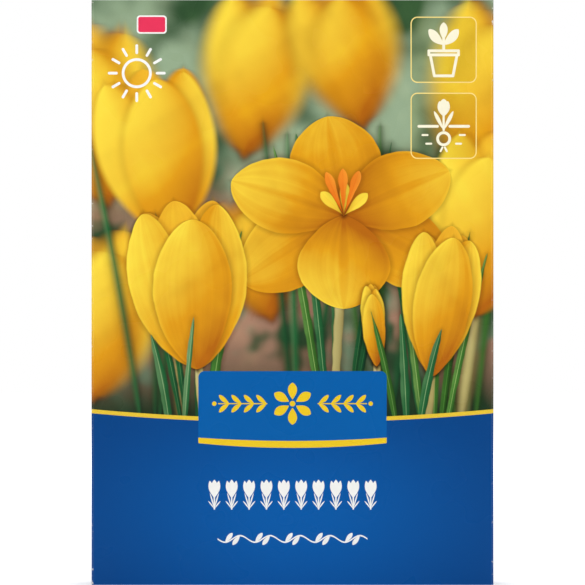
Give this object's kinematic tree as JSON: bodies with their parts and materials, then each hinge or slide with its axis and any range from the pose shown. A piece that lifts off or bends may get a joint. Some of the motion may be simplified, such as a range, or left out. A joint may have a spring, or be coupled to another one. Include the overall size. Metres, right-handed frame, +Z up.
{
  "type": "flower bulb packet",
  "caption": "Slim upright folding carton of printed board with tucked lids at both ends and round vent holes, filled with loose crocus corms.",
  "frame": {"origin": "middle of the base, on the surface that the packet stands on", "axes": "+Z up along the packet's height, +X to the right along its width, +Y from the printed front towards the back"},
  "size_m": [0.11, 0.024, 0.16],
  "materials": {
    "printed_board": "satin",
    "dry_tunic": "matte"
  },
  "bodies": {
    "root": {"carton": "printed_board", "corm_01": "dry_tunic", "corm_02": "dry_tunic", "corm_03": "dry_tunic", "corm_04": "dry_tunic", "corm_05": "dry_tunic", "corm_06": "dry_tunic", "corm_07": "dry_tunic", "corm_08": "dry_tunic", "corm_09": "dry_tunic", "corm_10": "dry_tunic"}
  },
  "joints": []
}
